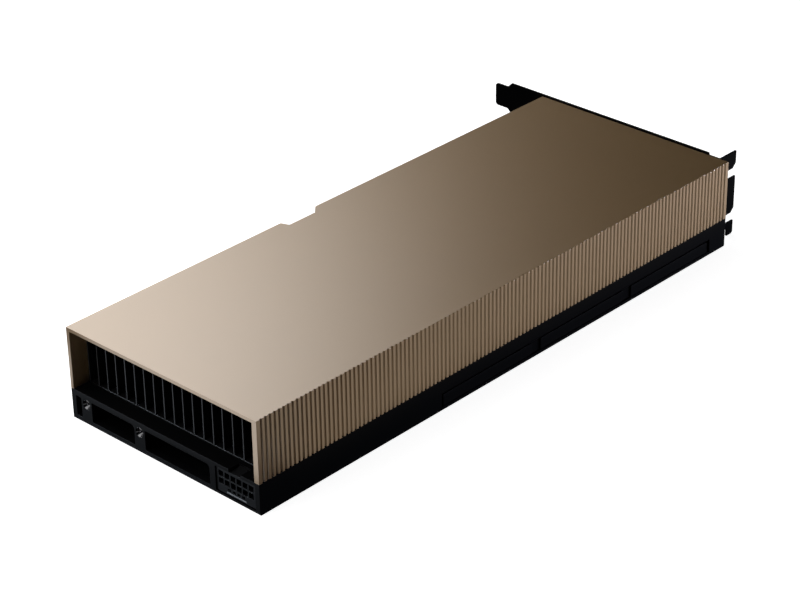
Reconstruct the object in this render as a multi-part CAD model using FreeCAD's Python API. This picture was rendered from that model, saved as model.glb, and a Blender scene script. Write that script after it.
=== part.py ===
import FreeCAD, Part
import math
import os

# A passive dual-slot accelerator card for servers, in millimetres.
# The card lies on its back plate. X runs from the open tail to the slot bracket, Y from the ribbed
# long side to the side with the edge connector, and Z from the back plate up to the shroud's top.
# Everything below is drawn from the tail face, the ribbed side and the resting face. The finished
# pieces are then moved so that the origin lies at the middle of the card's foot.

Vec = FreeCAD.Vector

# Envelope
body_length = 265.8        # tail face to the inside of the bracket plate
body_width = 97.8          # rib crests to the plain long side
body_height = 38.1         # resting face to the top of the shroud
frame_height = 12.7        # resting face to the joint between frame and shroud

# Shroud
shroud_sheet = 1.4
rib_depth = 0.5
rib_backing = 1.8          # from the floor of the grooves between the ribs to the inside
rib_pitch = 2.16
rib_crest = 1.1
rib_groove = 0.5
ear_width = 11.0
ear_drop = 7.0
ear_corner = 1.6
ear_end_inset = 22.0
ear_notch_gap = 20.0
ear_hole_drop = 4.0
hook_length = 10.0
hook_thickness = 1.2
hook_drop = 3.0

# Relief for the slot's retention latch, in the plain long side
latch_from_bracket = 138.1
latch_length = 19.2
latch_depth = 3.6
latch_run_tail = 1.4
latch_run_bracket = 3.9

# Frame
frame_wall = 2.4
tail_wall = 3.0
rear_wall = 3.0
deck_thickness = 2.3
tail_lip = 1.0             # frame's rail under the tail pockets
window_side_inset = 9.2
window_tail_inset = 12.0
window_rear_inset = 10.0
post_radius = 3.0
post_side_inset = 6.0
post_tail_inset = 34.0
post_rear_inset = 18.0
post_latch_gap = 34.0

# Tail face
extender_from_far = 8.1    # first threaded insert to the plain long side
extender_spacing = 28.6
extender_height = 8.5
extender_post_width = 5.7
extender_post_depth = 9.0
insert_radius = 2.0
insert_bore_radius = 1.25
insert_length = 6.0
pocket_web = 2.9           # web between the widest pocket and the power connector
pocket_corner = 1.8

# Back plate, film and board
plate_thickness = 1.2
plate_edge_chamfer = 0.4
film_thickness = 0.2
board_gap = 1.4
board_thickness = 1.57
board_edge_gap = 0.3
board_tail_gap = 0.5
card_height = 111.15       # rib crests to the end of the edge contacts
edge_from_bracket = 45.5
edge_length = 89.0
edge_key_from_start = 13.9
edge_key_width = 1.9
edge_key_depth = 7.6
edge_bevel = 0.5
contact_pitch = 1.0
contact_width = 0.7
contact_length = 4.2
contact_thickness = 0.05
contact_end_gap = 1.3
hook_stem = 4.0
hook_foot = 8.5
hook_tip_gap = 6.65         # hook's tip to the end of the edge contacts
hook_foot_height = 3.0
hook_from_edge = 4.8
hook_tip_corner = 1.5
hook_heel_corner = 0.6
hook_inner_corner = 1.0
slot_gap = 0.3

# Recess for the bridge connectors, low in the ribbed side
bridge_start = 92.9
bridge_pitch = 55.2
bridge_count = 3
bridge_window = 50.0
bridge_rim = 1.0
bridge_height = 6.2
bridge_recess = 0.9
bridge_chamfer = 0.9
bridge_cap_setback = 0.35
bridge_cap_wall = 0.9
bridge_cap_gap = 0.1
bridge_tab_length = 41.0

# Heat sink
fin_start = 7.4
fin_rear_gap = 7.2
fin_pitch = 5.05
fin_thickness = 0.45
fin_far_gap = 0.65
fin_top_gap = 0.4
fin_groove_depth = 0.5
fin_groove_gap = 0.02
fin_latch_gap = 3.0
flange_thickness = 1.0
flange_rise = 0.3          # heat sink's flange above the frame's deck
flange_gap = 0.2
sink_clearance = 4.2
sink_side_gap = 0.3

# Processor package and what clamps it
package_from_bracket = 150.0
package_side = 55.0
ball_side = 50.0
ball_height = 0.35
substrate_thickness = 1.5
ring_width = 3.0
ring_height = 0.6
die_length = 26.0
die_width = 32.0
die_height = 0.8
stack_length = 8.0
stack_width = 11.0
stack_gap = 0.6
compound_thickness = 0.1
pedestal_side = 46.0
clamp_inset = 5.0          # clamp screws to the stiffener's edges
clamp_shank_radius = 1.45
clamp_head_radius = 2.8
clamp_head_gap = 0.3
clamp_hole_radius = 1.6
clamp_post_radius = 3.2
clamp_post_gap = 0.15
clamp_depth = 3.4
stiffener_length = 78.0
stiffener_window = 52.0
stiffener_gap = 0.9        # stiffener to the frame's posts
clamp_head_rise = 0.2      # resting face to the clamp screws' heads

# Power stages
choke_side = 6.6
choke_height = 3.8
choke_pitch = 8.4
choke_count = 8
choke_from_package = 12.0
stage_length = 5.0
stage_height = 0.9
stage_gap = 1.6
capacitor_length = 7.3
capacitor_width = 4.3
capacitor_height = 2.8
capacitor_gap = 1.8
chip_side = 6.0
chip_height = 1.0
chip_pitch = 14.0
chip_count = 4
chip_from_bracket = 32.0

# Power connector
connector_from_ribs = 12.15
connector_width = 19.4
connector_bottom = 1.5
connector_height = 9.7
connector_depth = 13.0
connector_setback = 0.5
connector_gap = 0.15
pin_pitch = 3.0
pin_columns = 6
pin_cell = 2.35
pin_cell_depth = 9.0
pin_side = 0.9
pin_tip_setback = 2.0
lower_row_rise = 4.4       # lower row of power pins above the housing's floor
sideband_rise = 1.95
sideband_pitch = 2.35
sideband_count = 4
sideband_cell_width = 1.5
sideband_cell_height = 1.0
sideband_side = 0.4
sideband_shell_rise = 0.75
sideband_shell_height = 0.5
sideband_shell_width = 9.6
sideband_shell_depth = 7.0
latch_nub_width = 4.4
latch_nub_height = 1.1
latch_nub_depth = 4.0
rim_notch_width = 5.9
rim_notch_depth = 1.4
rim_notch_reach = 5.0
pin_tail_gap = 1.4
pin_tail_pitch = 1.8

# Slot bracket
bracket_sheet = 0.86
bracket_width = 38.74
bracket_overhang = 0.9     # top of the bracket above the shroud
bracket_tab_inset = 4.2
bracket_length = 120.02
bracket_bend = 1.2
tab_reach = 11.2
tab_notch_spacing = 20.32
tab_notch_height = 3.9
tab_notch_depth = 6.5
tab_notch_from_top = 10.4
tab_corner = 2.0
tab_slot_reach = 7.2       # relief under the tab's lowest piece, from the inside of the plate
tab_slot_height = 3.5
tab_slot_corner = 1.2
tab_foot_corner = 0.8
corner_dip_width = 5.9
corner_dip = 1.0           # tab's top and the corner beside it, below the plate's top
tongue_width = 10.19
tongue_spacing = 20.32
tongue_from_top = 2.2
tongue_neck = 6.8
tongue_corner = 1.4
vent_width = 3.4
vent_height = 9.4
vent_pitch = 5.2
vent_row_gap = 2.0
vent_rows = 2
vent_corner = 0.7
vent_side_margin = 4.0

# Countersunk screws: shroud ears, back plate and bracket
screw_shank_radius = 1.0
screw_head_radius = 1.9
screw_hole_gap = 0.15
ear_screw_length = 4.4
plate_screw_length = 7.2
bracket_screw_length = 5.5
bracket_screw_height = 7.2
bracket_screw_inset = 12.0
bracket_boss_depth = 3.2
bracket_boss_side = 6.0

# Clearances and allowances
fit_gap = 0.1              # between a formed tab and the pocket that takes it
seat_gap = 0.05            # between a seated piece and its hole or slot
past = 1.0                 # a cut runs this far past the faces that it opens
arc_margin = 0.05          # a full round end stops this short of half the slot's width
same_plane = 1e-6          # points nearer than this lie in one plane
round_sides = 10           # flats on the small rounds: screws, their holes and the posts

# Heights that follow from the stack of plates
board_bottom = plate_thickness + board_gap
board_top = board_bottom + board_thickness
deck_bottom = frame_height - deck_thickness
flange_top = frame_height + flange_rise
flange_bottom = flange_top - flange_thickness
sink_bottom = board_top + sink_clearance
stack_top = board_top + ball_height + substrate_thickness + die_height
roof_bottom = body_height - shroud_sheet

# Places that follow from the outline
inner_near = rib_depth + rib_backing
inner_far = body_width - shroud_sheet
latch_end = body_length - latch_from_bracket
latch_start = latch_end - latch_length
fin_end = body_length - fin_rear_gap
package_x = body_length - package_from_bracket
package_y = body_width / 2
edge_end = body_length - edge_from_bracket
edge_start = edge_end - edge_length
extender_y = [body_width - extender_from_far, body_width - extender_from_far - extender_spacing]
connector_top = connector_bottom + connector_height
connector_low_y = connector_from_ribs - connector_width / 2
connector_high_y = connector_from_ribs + connector_width / 2
web_low_y = connector_high_y + connector_gap
bracket_top = body_height + bracket_overhang
bracket_foot = bracket_top - bracket_width
bracket_outside = body_length + bracket_sheet
board_tail = extender_post_depth + board_tail_gap
stiffener_width = body_width - 2 * (post_side_inset + post_radius + stiffener_gap)
connector_back = connector_setback + connector_depth

parts = {}


def box(x0, x1, y0, y1, z0, z1):
    return Part.makeBox(x1 - x0, y1 - y0, z1 - z0, Vec(x0, y0, z0))


def flats_outline(centre, into, radius):
    """Corners of a small round drawn with flats, about an axis."""
    side = Vec(1, 0, 0) if abs(into.z) > abs(into.x) else Vec(0, 0, 1)
    other = into.cross(side)
    turns = [2 * math.pi * (k + 0.5) / round_sides for k in range(round_sides)]
    return [centre + side * (radius * math.cos(t)) + other * (radius * math.sin(t)) for t in turns]


def flat_face(corners):
    return Part.Face(Part.makePolygon(corners + corners[:1]))


def column(start, into, length, radius):
    """A small straight round along an axis."""
    return flat_face(flats_outline(start, into, radius)).extrude(into * length)


def taper(start, into, length, radius, end_radius):
    """A small round that narrows or widens along its axis."""
    near = flats_outline(start, into, radius)
    far = flats_outline(start + into * length, into, end_radius)
    faces = [flat_face(near), flat_face(far)]
    for k in range(round_sides):
        faces.append(flat_face([near[k - 1], near[k], far[k], far[k - 1]]))
    shell = Part.makeShell(faces)
    shell.sewShape()
    solid = Part.makeSolid(shell)
    if solid.Volume < 0:
        solid.reverse()
    return solid


def rod(x, y, z0, z1, radius):
    """An upright column between two heights."""
    return column(Vec(x, y, z0), Vec(0, 0, 1), z1 - z0, radius)


def prism(points, z0, z1):
    """An upright prism on a plan outline."""
    corners = [Vec(x, y, z0) for x, y in points]
    return Part.Face(Part.makePolygon(corners + corners[:1])).extrude(Vec(0, 0, z1 - z0))


def rounded_face(points, radii, place):
    """A flat face whose corners are rounded; place turns a pair of flat coordinates into a point."""
    edges = []
    ends = []
    count = len(points)
    for i in range(count):
        here = Vec(points[i][0], points[i][1], 0)
        to_last = (Vec(points[i - 1][0], points[i - 1][1], 0) - here).normalize()
        following = points[(i + 1) % count]
        to_next = (Vec(following[0], following[1], 0) - here).normalize()
        radius = radii[i]
        if radius == 0:
            ends.append((here, here))
            continue
        half = to_last.getAngle(to_next) / 2
        reach = radius / math.tan(half)
        start = here + to_last * reach
        finish = here + to_next * reach
        inward = (to_last + to_next).normalize()
        centre = here + inward * (radius / math.sin(half))
        middle = centre - inward * radius
        edges.append(Part.Arc(*[place(p.x, p.y) for p in (start, middle, finish)]).toShape())
        ends.append((start, finish))
    for i in range(count):
        a = ends[i][1]
        b = ends[(i + 1) % count][0]
        if (a - b).Length > same_plane:
            edges.append(Part.makeLine(place(a.x, a.y), place(b.x, b.y)))
    return Part.Face(Part.Wire(Part.__sortEdges__(edges)))


def across(points, radii, x0, x1):
    """A prism along X on a rounded outline of (y, z) pairs."""
    return rounded_face(points, radii, lambda y, z: Vec(x0, y, z)).extrude(Vec(x1 - x0, 0, 0))


def sideways(points, radii, y0, y1):
    """A prism along Y on a rounded outline of (x, z) pairs."""
    return rounded_face(points, radii, lambda x, z: Vec(x, y0, z)).extrude(Vec(0, y1 - y0, 0))


def upright(points, radii, z0, z1):
    """A prism along Z on a rounded outline of (x, y) pairs."""
    return rounded_face(points, radii, lambda x, y: Vec(x, y, z0)).extrude(Vec(0, 0, z1 - z0))


def far_edge(inset):
    """The plain long side with its latch relief, set in by a wall; points run from bracket to tail."""
    far = body_width - inset
    floor = far - latch_depth
    rise_tail = latch_run_tail / latch_depth
    rise_bracket = latch_run_bracket / latch_depth
    skew_tail = inset * math.hypot(1, rise_tail)
    skew_bracket = inset * math.hypot(1, rise_bracket)
    return [
        (latch_end - inset * rise_bracket + skew_bracket, far),
        (latch_end - (inset + latch_depth) * rise_bracket + skew_bracket, floor),
        (latch_start + (inset + latch_depth) * rise_tail - skew_tail, floor),
        (latch_start + inset * rise_tail - skew_tail, far),
    ]


def plan(x0, x1, y0, inset):
    """Plan outline between two ends, from y0 to the plain side set in by a wall."""
    far = body_width - inset
    return [(x0, y0), (x1, y0), (x1, far)] + far_edge(inset) + [(x0, far)]


def flat_screw(x, y, z, into, length):
    """A countersunk screw: its head's face lies at the point given, and its shank runs into the part."""
    start = Vec(x, y, z)
    sink = screw_head_radius - screw_shank_radius
    head = taper(start, into, sink, screw_head_radius, screw_shank_radius)
    shank = column(start + into * sink, into, length - sink, screw_shank_radius)
    return head.fuse(shank)


def screw_seat(x, y, z, into, sheet):
    """The countersink and clearance hole for such a screw in a sheet."""
    start = Vec(x, y, z)
    hole = screw_shank_radius + screw_hole_gap
    rim = screw_head_radius + seat_gap
    cone = taper(start, into, rim - hole, rim, hole)
    return cone.fuse(column(start, into, sheet + fit_gap, hole))


def screw_core(x, y, z, into, depth):
    """The tapped hole that such a screw bites into."""
    return column(Vec(x, y, z), into, depth, screw_shank_radius + seat_gap)


def ear_places():
    return [
        ear_end_inset,
        latch_start - ear_notch_gap,
        latch_end + ear_notch_gap,
        body_length - ear_end_inset,
    ]


def post_places():
    along = [post_tail_inset, latch_end + post_latch_gap, body_length - post_rear_inset]
    return [(x, y) for x in along for y in (post_side_inset, body_width - post_side_inset)]


def clamp_places():
    along = stiffener_length / 2 - clamp_inset
    aside = stiffener_width / 2 - clamp_inset
    return [(package_x + a * along, package_y + b * aside) for a in (-1, 1) for b in (-1, 1)]


def bracket_screw_places():
    return [bracket_screw_inset, body_width / 2, body_width - bracket_screw_inset]


def bridge_middles():
    first = bridge_start + bridge_rim + bridge_window / 2
    return [first + k * bridge_pitch for k in range(bridge_count)]


def bridge_end():
    return bridge_start + (bridge_count - 1) * bridge_pitch + bridge_window + 2 * bridge_rim


def pin_places():
    """Column and row of each power pin, as (y, z)."""
    first = connector_from_ribs - (pin_columns - 1) * pin_pitch / 2
    rows = [connector_bottom + lower_row_rise + r * pin_pitch for r in (0, 1)]
    return [(first + c * pin_pitch, z) for z in rows for c in range(pin_columns)]


def sideband_places():
    first = connector_from_ribs - (sideband_count - 1) * sideband_pitch / 2
    return [first + k * sideband_pitch for k in range(sideband_count)]


# Shroud: one folded and machined cover, open at both ends
def ribbed_side():
    """The ribbed long side in plan, from tail to bracket: flat lands with grooves between them."""
    flank = (rib_pitch - rib_crest - rib_groove) / 2
    grooves = int((body_length - rib_crest) / rib_pitch)
    land = (body_length - grooves * rib_pitch + rib_crest) / 2
    points = [(0, 0)]
    for k in range(grooves):
        x = land + k * rib_pitch
        points += [
            (x, 0),
            (x + flank, rib_depth),
            (x + flank + rib_groove, rib_depth),
            (x + 2 * flank + rib_groove, 0),
        ]
    return points + [(body_length, 0)]


def make_shroud():
    outline = ribbed_side() + [(body_length, body_width)] + far_edge(0) + [(0, body_width)]
    shroud = prism(outline, frame_height, body_height)
    hollow = plan(-past, body_length + past, inner_near, shroud_sheet)
    shroud = shroud.cut(prism(hollow, frame_height - past, roof_bottom))
    extras = []
    cuts = []
    for x in ear_places():
        low = frame_height - ear_drop
        corners = [
            (x - ear_width / 2, frame_height),
            (x - ear_width / 2, low),
            (x + ear_width / 2, low),
            (x + ear_width / 2, frame_height),
        ]
        extras.append(sideways(corners, [0, ear_corner, ear_corner, 0], inner_far, body_width))
        hole_z = frame_height - ear_hole_drop
        cuts.append(screw_seat(x, body_width, hole_z, Vec(0, -1, 0), shroud_sheet))
        low_hook = frame_height - hook_drop
        half = hook_length / 2
        hook_near = inner_near - hook_thickness
        extras.append(box(x - half, x + half, hook_near, inner_near, low_hook, frame_height))
    return shroud.fuse(extras).cut(cuts).removeSplitter()


parts["shroud"] = make_shroud()

parts["shroud_screws"] = Part.makeCompound([
    flat_screw(x, body_width, frame_height - ear_hole_drop, Vec(0, -1, 0), ear_screw_length)
    for x in ear_places()
])


# Frame: the black casting that carries everything, with the pockets and posts of the tail face
def tail_openings():
    """Pockets beside and between the two posts, and the mouth for the power connector."""
    half = extender_post_width / 2
    low = plate_thickness + tail_lip
    spans = [
        (extender_y[0] + half, body_width - frame_wall),
        (extender_y[1] + half, extender_y[0] - half),
        (web_low_y + pocket_web, extender_y[1] - half),
    ]
    cuts = []
    for near, far in spans:
        corners = [(near, low), (far, low), (far, deck_bottom), (near, deck_bottom)]
        corner = min(pocket_corner, (far - near) / 3)
        cuts.append(across(corners, [0, 0, 0, corner], -past, tail_wall + past))
    mouth_low = connector_low_y - connector_gap
    mouth_top = connector_top + connector_gap
    cuts.append(box(-past, connector_back, mouth_low, web_low_y, 0, mouth_top))
    notch_half = rim_notch_width / 2
    notch_low = frame_height - rim_notch_depth
    cuts.append(box(
        -past, rim_notch_reach, connector_from_ribs - notch_half, connector_from_ribs + notch_half,
        min(notch_low, mouth_top), frame_height + past,
    ))
    return cuts


def bridge_cuts():
    """The long shallow recess with a sloping top edge, and a window for each connector."""
    slope = [
        (-past, 0),
        (bridge_recess, 0),
        (bridge_recess, bridge_height),
        (0, bridge_height + bridge_chamfer),
        (-past, bridge_height + bridge_chamfer),
    ]
    cuts = [across(slope, [0] * len(slope), bridge_start, bridge_end())]
    for x in bridge_middles():
        half = bridge_window / 2
        cuts.append(box(x - half, x + half, 0, frame_wall + past, 0, bridge_height))
    return cuts


def make_frame():
    frame = prism(plan(0, body_length, 0, 0), plate_thickness, frame_height)
    room = plan(tail_wall, body_length - rear_wall, frame_wall, frame_wall)
    frame = frame.cut(prism(room, 0, deck_bottom))
    window_far = body_width - window_side_inset
    frame = frame.cut(box(
        window_tail_inset, body_length - window_rear_inset, window_side_inset, window_far,
        deck_bottom - past, frame_height + past,
    ))
    seat = plan(fin_start - flange_gap, fin_end + flange_gap, inner_near, shroud_sheet)
    frame = frame.cut(prism(seat, flange_bottom, frame_height + past))
    solids = []
    for y in extender_y:
        half = extender_post_width / 2
        solids.append(box(0, extender_post_depth, y - half, y + half, plate_thickness, deck_bottom))
    solids.append(box(0, connector_back, web_low_y, web_low_y + pocket_web, plate_thickness, deck_bottom))
    for x, y in post_places():
        solids.append(rod(x, y, board_top, deck_bottom, post_radius))
    for x in ear_places():
        boss_far = body_width - frame_wall
        boss_near = boss_far - ear_screw_length + shroud_sheet
        boss_low = frame_height - ear_drop
        half = ear_width / 2
        solids.append(box(x - half, x + half, boss_near, boss_far, boss_low, deck_bottom))
    for y in bracket_screw_places():
        half = bracket_boss_side / 2
        boss_tail = body_length - rear_wall - bracket_boss_depth
        boss_low = bracket_screw_height - half
        solids.append(box(boss_tail, body_length - rear_wall, y - half, y + half, boss_low, deck_bottom))
    frame = frame.fuse(solids)
    cuts = tail_openings() + bridge_cuts()
    for y in extender_y:
        radius = insert_radius + seat_gap
        mouth = Vec(-past, y, extender_height)
        cuts.append(column(mouth, Vec(1, 0, 0), insert_length + past, radius))
    for x, y in post_places():
        cuts.append(screw_core(x, y, board_top, Vec(0, 0, 1), plate_screw_length - board_top + fit_gap))
    for x in ear_places():
        half = ear_width / 2 + fit_gap
        low = frame_height - ear_drop - fit_gap
        near = inner_far - seat_gap
        cuts.append(box(x - half, x + half, near, body_width + past, low, frame_height + past))
        depth = ear_screw_length + fit_gap
        cuts.append(screw_core(x, body_width, frame_height - ear_hole_drop, Vec(0, -1, 0), depth))
        hook_half = hook_length / 2 + fit_gap
        hook_low = frame_height - hook_drop - fit_gap
        hook_near = inner_near - hook_thickness - fit_gap
        hook_far = inner_near + fit_gap
        hook_top = frame_height + past
        cuts.append(box(x - hook_half, x + hook_half, hook_near, hook_far, hook_low, hook_top))
    for y in bracket_screw_places():
        depth = bracket_screw_length + fit_gap
        cuts.append(screw_core(bracket_outside, y, bracket_screw_height, Vec(-1, 0, 0), depth))
    slot_top = board_top + slot_gap
    slots = [(edge_start - slot_gap, edge_end + slot_gap)]
    hook_end = edge_start - hook_from_edge
    slots.append((hook_end - hook_stem - slot_gap, hook_end + slot_gap))
    for x0, x1 in slots:
        wall_near = body_width - frame_wall - latch_depth - past
        cuts.append(box(x0, x1, wall_near, body_width + past, 0, slot_top))
    return frame.cut(cuts).removeSplitter()


parts["base_frame"] = make_frame()


def make_inserts():
    sleeves = []
    for y in extender_y:
        mouth = Vec(0, y, extender_height)
        sleeve = column(mouth, Vec(1, 0, 0), insert_length, insert_radius)
        bore = Part.makeCylinder(insert_bore_radius, insert_length, mouth, Vec(1, 0, 0))
        sleeves.append(sleeve.cut(bore))
    return Part.makeCompound(sleeves)


parts["extender_inserts"] = make_inserts()


# Back plate with a raised boss under each frame post
def make_back_plate():
    plate = prism(plan(0, body_length, 0, 0), 0, plate_thickness)
    foot = [e for e in plate.Edges if all(abs(v.Z) < same_plane for v in e.Vertexes)]
    plate = plate.makeChamfer(plate_edge_chamfer, foot)
    bosses = [rod(x, y, plate_thickness, board_bottom, post_radius) for x, y in post_places()]
    plate = plate.fuse(bosses)
    cuts = []
    for x, y in post_places():
        cuts.append(screw_seat(x, y, 0, Vec(0, 0, 1), board_bottom))
    for x, y in clamp_places():
        cuts.append(rod(x, y, 0, plate_thickness, clamp_head_radius + clamp_head_gap))
    cuts.append(box(bridge_start, bridge_end(), -past, bridge_recess, -past, plate_thickness + past))
    return plate.cut(cuts).removeSplitter()


parts["back_plate"] = make_back_plate()


def inside_plan(inset, tail):
    """Plan of what lies inside the frame, clear of the power connector and its web."""
    rear = body_length - rear_wall - inset
    outline = prism(plan(tail, rear, frame_wall + inset, frame_wall + inset), 0, past)
    corner_x = connector_back + inset
    corner_y = web_low_y + pocket_web + inset
    return outline.cut(box(0, corner_x, 0, corner_y, -past, 2 * past))


def sheet_of(solid, z0, z1):
    """The same plan outline at another height and thickness."""
    foot = [f for f in solid.Faces if abs(f.CenterOfMass.z) < same_plane][0]
    lifted = foot.copy()
    lifted.translate(Vec(0, 0, z0))
    return lifted.extrude(Vec(0, 0, z1 - z0))


# Insulating film on the back plate
def make_film():
    clear_of_posts = post_side_inset + post_radius + fit_gap - frame_wall
    outline = inside_plan(clear_of_posts, board_tail)
    film = sheet_of(outline, plate_thickness, plate_thickness + film_thickness)
    half = clamp_head_radius + clamp_head_gap
    holes = [box(x - half, x + half, y - half, y + half, 0, board_bottom) for x, y in clamp_places()]
    return film.cut(holes)


parts["insulation_film"] = make_film()


# Circuit board with its edge connector, retention hook and bridge tabs
def make_board():
    board = sheet_of(inside_plan(board_edge_gap, board_tail), board_bottom, board_top)
    root = body_width - frame_wall - latch_depth - 2 * board_edge_gap
    edge = upright(
        [(edge_start, root), (edge_end, root), (edge_end, card_height), (edge_start, card_height)],
        [0, 0, 0, 0], board_bottom, board_top,
    )
    tip = [e for e in edge.Edges if all(abs(v.Y - card_height) < same_plane for v in e.Vertexes)]
    tip = [e for e in tip if abs(e.Vertexes[0].Z - e.Vertexes[1].Z) < same_plane]
    edge = edge.makeChamfer(edge_bevel, tip)
    hook_end = edge_start - hook_from_edge
    hook_tip = card_height - hook_tip_gap
    hook = [
        (hook_end, root),
        (hook_end, hook_tip),
        (hook_end - hook_foot, hook_tip),
        (hook_end - hook_foot, hook_tip - hook_foot_height),
        (hook_end - hook_stem, hook_tip - hook_foot_height),
        (hook_end - hook_stem, root),
    ]
    hook_radii = [0, hook_tip_corner, hook_inner_corner, hook_heel_corner, hook_inner_corner, 0]
    hook_tab = upright(hook, hook_radii, board_bottom, board_top)
    solids = [edge, hook_tab]
    tab_tip = bridge_cap_setback + bridge_cap_wall + bridge_cap_gap
    for x in bridge_middles():
        half = bridge_tab_length / 2
        tab_root = frame_wall + 2 * board_edge_gap
        solids.append(box(x - half, x + half, tab_tip, tab_root, board_bottom, board_top))
    board = board.fuse(solids)
    key_x = edge_end - edge_key_from_start
    key = [
        (key_x - edge_key_width / 2, card_height + past),
        (key_x - edge_key_width / 2, card_height - edge_key_depth),
        (key_x + edge_key_width / 2, card_height - edge_key_depth),
        (key_x + edge_key_width / 2, card_height + past),
    ]
    bottom_round = edge_key_width / 2 - arc_margin
    cuts = [upright(key, [0, bottom_round, bottom_round, 0], 0, board_top + past)]
    post_hole = screw_shank_radius + screw_hole_gap
    cuts += [rod(x, y, 0, board_top + past, post_hole) for x, y in post_places()]
    cuts += [rod(x, y, 0, board_top + past, clamp_hole_radius) for x, y in clamp_places()]
    return board.cut(cuts).removeSplitter()


parts["circuit_board"] = make_board()


def make_contacts():
    """The gilt pads on both faces of the edge, left out at the key."""
    pads = []
    key_x = edge_end - edge_key_from_start
    clear = (edge_key_width + contact_width) / 2 + fit_gap
    count = int((edge_length - 2 * contact_end_gap) / contact_pitch)
    far = card_height - edge_bevel - 2 * fit_gap
    for k in range(count):
        x = edge_end - contact_end_gap - (k + 0.5) * contact_pitch
        if abs(x - key_x) < clear:
            continue
        x0 = x - contact_width / 2
        x1 = x + contact_width / 2
        for z0 in (board_bottom - contact_thickness, board_top):
            pads.append(box(x0, x1, far - contact_length, far, z0, z0 + contact_thickness))
    return Part.makeCompound(pads)


parts["edge_contacts"] = make_contacts()


def make_bridge_caps():
    """Plain caps that close the three bridge connectors and slip over the board's tabs."""
    caps = []
    for x in bridge_middles():
        half = bridge_window / 2 - bridge_cap_gap
        low = plate_thickness + seat_gap
        top = bridge_height - bridge_cap_gap
        cap = box(x - half, x + half, bridge_cap_setback, frame_wall, low, top)
        slot_half = bridge_tab_length / 2 + bridge_cap_gap
        slot_near = bridge_cap_setback + bridge_cap_wall
        slot_low = board_bottom - seat_gap
        slot_top = board_top + seat_gap
        slot_far = frame_wall + past
        caps.append(cap.cut(box(x - slot_half, x + slot_half, slot_near, slot_far, slot_low, slot_top)))
    return Part.makeCompound(caps)


parts["bridge_caps"] = make_bridge_caps()


# Heat sink: a base with grooves, and plain fins bonded into them
def fin_places():
    span = inner_far - fin_far_gap - inner_near - fin_thickness
    return [inner_far - fin_far_gap - k * fin_pitch for k in range(int(span / fin_pitch) + 1)]


def make_sink_base():
    flange_plan = plan(fin_start, fin_end, inner_near + flange_gap, shroud_sheet + flange_gap)
    base = prism(flange_plan, flange_bottom, flange_top)
    body_x0 = window_tail_inset + sink_side_gap
    body_x1 = body_length - window_rear_inset - sink_side_gap
    body_y0 = window_side_inset + sink_side_gap
    body_y1 = body_width - window_side_inset - sink_side_gap
    body = box(body_x0, body_x1, body_y0, body_y1, sink_bottom, flange_bottom)
    tails_end = connector_back + pin_tail_gap + pin_tail_pitch + pin_side + past
    web_far = web_low_y + pocket_web + sink_side_gap
    body = body.cut(box(0, tails_end, 0, web_far, 0, flange_bottom))
    half = pedestal_side / 2
    pedestal = box(
        package_x - half, package_x + half, package_y - half, package_y + half,
        stack_top + compound_thickness, sink_bottom,
    )
    solids = [body, pedestal]
    for x, y in clamp_places():
        solids.append(rod(x, y, board_top + clamp_post_gap, sink_bottom, clamp_post_radius))
    base = base.fuse(solids)
    cuts = []
    for x, y in clamp_places():
        tip = board_top + clamp_post_gap + clamp_depth + fit_gap
        cuts.append(rod(x, y, board_top, tip, clamp_shank_radius + seat_gap))
    for y in fin_places():
        half = fin_thickness / 2 + fin_groove_gap
        groove_floor = flange_top - fin_groove_depth
        cuts.append(box(0, body_length, y - half, y + half, groove_floor, flange_top + past))
    return base.cut(cuts).removeSplitter()


parts["heatsink_base"] = make_sink_base()


def make_fins():
    """Plain fins; one that would foul the latch relief is made in two lengths."""
    low = flange_top - fin_groove_depth
    top = roof_bottom - fin_top_gap
    limit = inner_far - latch_depth - fin_far_gap
    fins = []
    for y in fin_places():
        spans = [(fin_start, fin_end)]
        if y > limit:
            spans = [(fin_start, latch_start - fin_latch_gap), (latch_end + fin_latch_gap, fin_end)]
        for x0, x1 in spans:
            fins.append(box(x0, x1, y - fin_thickness / 2, y + fin_thickness / 2, low, top))
    return Part.makeCompound(fins)


parts["heatsink_fins"] = make_fins()


# Processor package
def block(length, width, z0, z1, x=0, y=0):
    """A block centred on the package, or shifted from it."""
    x0 = package_x + x - length / 2
    y0 = package_y + y - width / 2
    return box(x0, x0 + length, y0, y0 + width, z0, z1)


def ring(length, width, inner, z0, z1):
    """A plate round the package with a square window."""
    return block(length, width, z0, z1).cut(block(inner, inner, z0, z1))


substrate_bottom = board_top + ball_height
substrate_top = substrate_bottom + substrate_thickness
balls = block(ball_side, ball_side, board_top, substrate_bottom)
substrate = block(package_side, package_side, substrate_bottom, substrate_top)
parts["processor_package"] = balls.fuse(substrate)
ring_window = package_side - 2 * ring_width
ring_top = substrate_top + ring_height
parts["package_ring"] = ring(package_side, package_side, ring_window, substrate_top, ring_top)
parts["processor_die"] = block(die_length, die_width, substrate_top, stack_top)

stack_x = die_length / 2 + stack_gap + stack_length / 2
stack_step = stack_width + stack_gap
parts["memory_stacks"] = Part.makeCompound([
    block(stack_length, stack_width, substrate_top, stack_top, side * stack_x, row * stack_step)
    for side in (-1, 1) for row in (-1, 0, 1)
])
parts["thermal_compound"] = block(
    2 * stack_x + stack_length, max(die_width, 3 * stack_width + 2 * stack_gap),
    stack_top, stack_top + compound_thickness,
)


# Stiffener under the package and the screws that clamp the heat sink through it
def make_stiffener():
    low = plate_thickness + film_thickness
    plate = ring(stiffener_length, stiffener_width, stiffener_window, low, board_bottom)
    return plate.cut([rod(x, y, 0, board_bottom, clamp_hole_radius) for x, y in clamp_places()])


parts["stiffener_plate"] = make_stiffener()


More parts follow.
